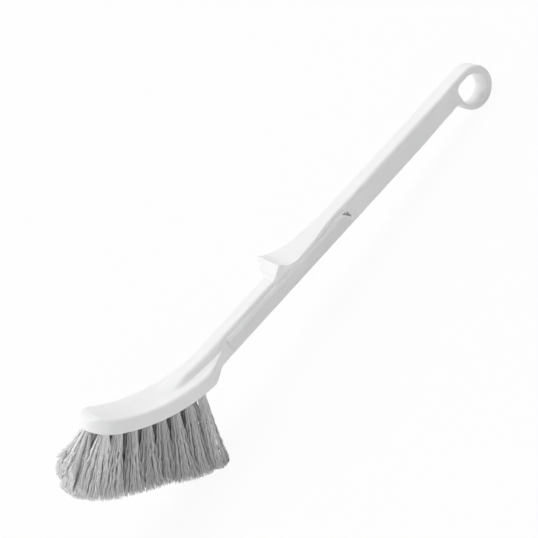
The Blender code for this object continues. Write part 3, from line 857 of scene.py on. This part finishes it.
for number, (name, run, across, lean, splay) in enumerate(holes):
    chance = random.Random(first_seed + number)
    place = hole_place(run, across, lean, splay)
    back = place.inverted()
    trims = [(back @ Vector(point), back.to_3x3() @ Vector(facing)) for point, facing in trim_faces]
    count, lock_count, long, wide = filaments_in_tuft, locks_in_tuft, spread_along, spread_across
    pull, tip_pull, crimped, opening = lock_pull, lock_pull_at_tip, 1.0, opens_evenly
    at_nose = name == "nose"
    place_in_row = 1 if at_nose else int(name[-1])
    in_front = place_in_row == 1
    at_end = place_in_row == tufts_in_row
    # Painted light: the nose tuft, the first tufts of each row and the last one get a lighter grey for the
    # light that they catch.
    painted_light = front_painted_light * max(1 - (place_in_row - 1) / painted_light_fade_tufts, 0)
    if in_front:
        count, long, opening = filaments_in_first_tuft, spread_along_first, opens_early
    if place_in_row >= late_tufts_from:
        long, opening = spread_along_last, opens_late
    if at_end:
        painted_light = last_painted_light
        wide *= last_across_share
    if at_nose:
        count, lock_count, wide = filaments_in_nose_tuft, locks_in_nose_tuft, nose_spread_across
        pull, tip_pull, crimped = nose_lock_pull, nose_lock_pull_at_tip, nose_crimp_share
    locks = disc_points(lock_count, bundle_radius * locks_reach_share, chance)
    lock_waves = []
    for _ in locks:
        turns = chance.uniform(0, pi * 2), chance.uniform(0, pi * 2)
        lock_waves.append((*turns, chance.uniform(slowest_wave, fastest_wave)))
    lock_shades = [chance.uniform(-lock_shade_change, lock_shade_change) for _ in locks]
    wander = Vector((chance.gauss(0, 1), chance.gauss(0, 1))) * tuft_wander
    if in_front and not at_nose:
        wander.x += first_lean
    if at_end:
        wander.x += last_lean
    long *= 1 + chance.uniform(-tuft_spread_change, tuft_spread_change)
    reach = min(point.dot(facing) / -facing.z for point, facing in trims if -facing.z > shallowest_cut)
    tuft = bmesh.new()
    tuft.verts.layers.float.new("filament_grey_and_painted_light")
    for root in disc_points(count, bundle_radius, chance):
        nearest = min(range(len(locks)), key=lambda index: (locks[index] - root).length)
        lock = locks[nearest]

        # The filament aims at its place in the spread tuft, drawn in a little to its lock.
        gathered = root.lerp(lock, tip_pull)
        square = 1 / max(sqrt(max(1 - (gathered.x / bundle_radius) ** 2, 0)), 1 / squarest)
        fan = Vector((gathered.x * long, gathered.y * wide * square)) / (bundle_radius * 2) + wander
        lock_aim = Vector((lock.x * long, lock.y * wide)) / (bundle_radius * 2) + wander - lock
        if chance.random() < stray_share:
            fan += Vector((chance.uniform(-1, 1), chance.uniform(-1, 1))) * stray_width

        # It is cut where it first meets a face of the trim, and a few filaments are left longer.
        start = root.to_3d()
        aim = Vector((fan.x, fan.y, -reach)) - start
        cut_share = min((point - start).dot(facing) / aim.dot(facing) for point, facing in trims
                        if aim.dot(facing) > shallowest_cut * reach)
        cut_share -= abs(chance.gauss(0, 1)) * tip_unevenness / reach
        if chance.random() < long_share:
            cut_share += chance.random() * long_extra / reach

        # Its crimp runs beside the wave of its lock, and its grey lies near that of its lock, lifted by the
        # painted light of the first and last tufts.
        lock_turn, second_turn, pace = lock_waves[nearest]
        turn = lock_turn + chance.gauss(0, crimp_turn_change)
        across_turn = second_turn + chance.gauss(0, crimp_turn_change)
        own_change = chance.uniform(-filament_shade_change, filament_shade_change)
        grey_and_painted_light = min(max(plain_shade + painted_light + lock_shades[nearest] + own_change, 0), 1)
        width = filament_width * chance.uniform(thinnest, thickest)

        def sway(part, out):
            """How far crimp, the lock's wave and the lock's pull move the filament aside."""
            free = min(part * crimp_grows, 1)
            fine = out * reach / crimp_length * pi * 2 * pace
            slow = out * reach / lock_wave_length * pi * 2 * pace
            crimp = Vector((sin(fine + turn), cos(fine * crimp_pace_across + across_turn))) * crimp_height
            wave = Vector((sin(slow + lock_turn), cos(slow + second_turn))) * lock_wave_height
            apart = lock - root + (lock_aim - aim.xy) * part ** opening * cut_share
            return ((crimp + wave) * crimped * free + apart * pull * sin(pi * part)).to_3d()

        centres = filament_line(root, width, aim, cut_share, opening, sway)
        add_filament(tuft, centres, width, chance.uniform(0, pi), grey_and_painted_light)
    bmesh.ops.recalc_face_normals(tuft, faces=tuft.faces)
    bmesh.ops.transform(tuft, matrix=standing @ place, verts=tuft.verts)
    for vert in tuft.verts:
        vert.co.z = max(vert.co.z, least_height)
    mesh = bpy.data.meshes.new("bristles_" + name)
    tuft.to_mesh(mesh)
    tuft.free()
    mesh.shade_smooth()
    mesh.materials.append(grey_filament)
    bristles = bpy.data.objects.new("bristles_" + name, mesh)
    bpy.context.scene.collection.objects.link(bristles)
    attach(bristles, "root")
    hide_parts("tuft_" + name)
bpy.data.meshes.remove(strand_mesh)

# Floor and light: a plain white studio. The camera sees the floor as paper white, and it still
# takes the brush's soft shadow.
floor_size = 3.0
floor_gap = 0.0001
paper_white_share = 0.93


def seen_rays(tree):
    """Gives 1 for rays that see the backdrop, straight or mirrored, and 0 for those that light the brush."""
    path = tree.nodes.new("ShaderNodeLightPath")
    seen = path.outputs["Is Camera Ray"]
    for kind in ("Is Glossy Ray", "Is Transmission Ray"):
        either = tree.nodes.new("ShaderNodeMath")
        either.operation = "MAXIMUM"
        tree.links.new(seen, either.inputs[0])
        tree.links.new(path.outputs[kind], either.inputs[1])
        seen = either.outputs["Value"]
    return seen


paper, tree, shader = new_finish("paper", roughness=0.9)
shader.inputs["Base Color"].default_value = (0.80, 0.80, 0.80, 1)
shader.inputs["Specular IOR Level"].default_value = 0.0
output = tree.nodes["Material Output"]
glow = tree.nodes.new("ShaderNodeEmission")
glow.inputs["Strength"].default_value = 1.0
mix = tree.nodes.new("ShaderNodeMixShader")
share = tree.nodes.new("ShaderNodeMath")
share.operation = "MULTIPLY"
share.inputs[1].default_value = paper_white_share
tree.links.new(seen_rays(tree), share.inputs[0])
tree.links.new(share.outputs["Value"], mix.inputs["Fac"])
tree.links.new(shader.outputs["BSDF"], mix.inputs[1])
tree.links.new(glow.outputs["Emission"], mix.inputs[2])
tree.links.new(mix.outputs["Shader"], output.inputs["Surface"])
bm = bmesh.new()
bmesh.ops.create_grid(bm, x_segments=2, y_segments=2, size=floor_size)
bmesh.ops.translate(bm, verts=bm.verts, vec=(0, 0, -floor_gap))
mesh = bpy.data.meshes.new("studio_floor")
bm.to_mesh(mesh)
bm.free()
mesh.materials.append(paper)
floor = bpy.data.objects.new("studio_floor", mesh)
bpy.context.scene.collection.objects.link(floor)

world = bpy.data.worlds.new("studio")
bpy.context.scene.world = world
world.use_nodes = True
tree = world.node_tree
air = tree.nodes["Background"]
air.inputs["Color"].default_value = (1, 1, 1, 1)
air.inputs["Strength"].default_value = 0.28
seen = tree.nodes.new("ShaderNodeBackground")
seen.inputs["Color"].default_value = (1, 1, 1, 1)
seen.inputs["Strength"].default_value = 1.0
mix = tree.nodes.new("ShaderNodeMixShader")
tree.links.new(seen_rays(tree), mix.inputs["Fac"])
tree.links.new(air.outputs["Background"], mix.inputs[1])
tree.links.new(seen.outputs["Background"], mix.inputs[2])
tree.links.new(mix.outputs["Shader"], tree.nodes["World Output"].inputs["Surface"])


def softbox(name, place, aim, size, watts):
    """Hangs a square soft light that looks at a point."""
    data = bpy.data.lights.new(name, "AREA")
    data.shape = "SQUARE"
    data.size = size
    data.energy = watts
    lamp = bpy.data.objects.new(name, data)
    bpy.context.scene.collection.objects.link(lamp)
    turned = (Vector(aim) - Vector(place)).to_track_quat("-Z", "Y")
    lamp.matrix_world = Matrix.Translation(place) @ turned.to_matrix().to_4x4()


brush_middle = (0, 0, 0.03)
head_middle = (-0.05, 0, 0.03)
softbox("overhead_light", place=(-0.10, 0.45, 3.00), aim=brush_middle, size=1.8, watts=50.0)
softbox("left_light", place=(-2.35, 1.35, 1.10), aim=brush_middle, size=1.6, watts=14.0)
softbox("back_light", place=(-1.30, 2.50, 1.00), aim=brush_middle, size=1.6, watts=10.0)
softbox("right_light", place=(2.10, 1.60, 1.50), aim=brush_middle, size=1.6, watts=21.0)
softbox("near_light", place=(-0.55, -0.90, 0.45), aim=head_middle, size=0.6, watts=2.4)

# Camera at the photograph's place, square on to a point of the bar near its head.
to_right = Vector((0.6577, -0.5381, -0.5272))
to_top = Vector((0.7190, 0.2396, 0.6524))
to_camera = Vector((-0.2248, -0.8081, 0.5444))
looks_at = Vector((0.061, 0, 0.0189))
camera_distance = 1.150
picture_width = 538
camera_data = bpy.data.cameras.new("camera")
camera_data.sensor_width = 36.0
camera_data.lens = 127.4
camera_data.shift_x = 1 / picture_width
camera_data.shift_y = 1 / picture_width
camera_data.clip_end = 10.0
camera = bpy.data.objects.new("camera", camera_data)
bpy.context.scene.collection.objects.link(camera)
view = Matrix((to_right, to_top, to_camera)).transposed().to_4x4()
view.translation = looks_at + to_camera * camera_distance
camera.matrix_world = standing @ view
bpy.context.scene.camera = camera
bpy.context.scene.view_settings.view_transform = "Standard"
